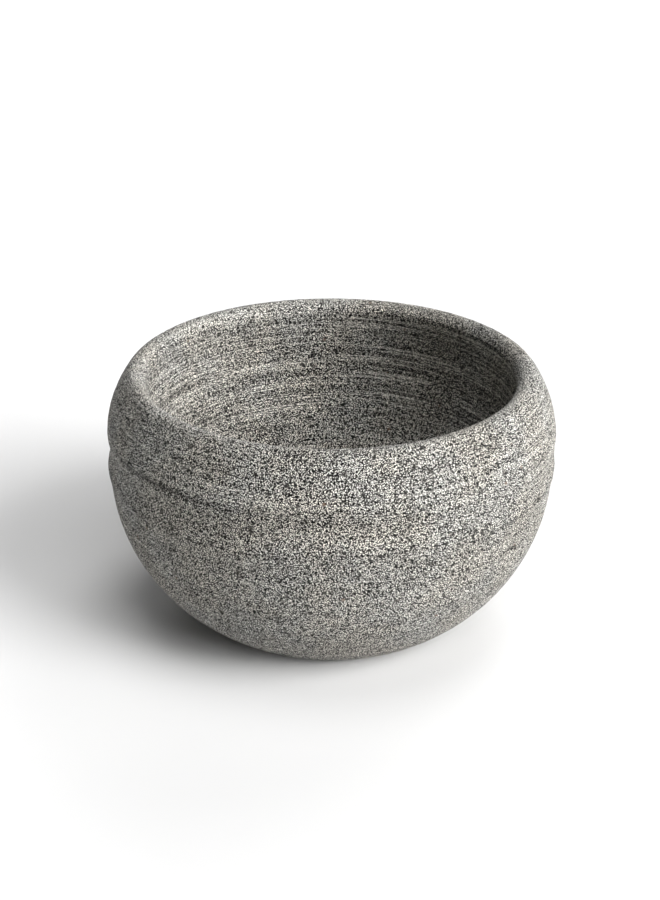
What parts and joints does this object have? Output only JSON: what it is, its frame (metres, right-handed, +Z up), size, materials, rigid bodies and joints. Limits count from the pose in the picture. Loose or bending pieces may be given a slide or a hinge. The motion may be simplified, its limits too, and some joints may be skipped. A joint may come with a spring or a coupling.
{
  "type": "stone mortar bowl",
  "caption": "Round one-piece stone mortar bowl with a flat foot, a full belly, a ridge and shallow cove below the shoulder, and a thick rounded lip.",
  "frame": {"origin": "centre of the foot, on the surface the bowl stands on", "axes": "+Z up along the bowl's axis of symmetry; the bowl is round, so +X and +Y are any two directions across it"},
  "size_m": [0.2, 0.2, 0.114],
  "materials": {
    "stone": "matt, fine salt-and-pepper grain with turning lines and small pits"
  },
  "bodies": {
    "root": {"bowl": "stone"}
  },
  "joints": []
}
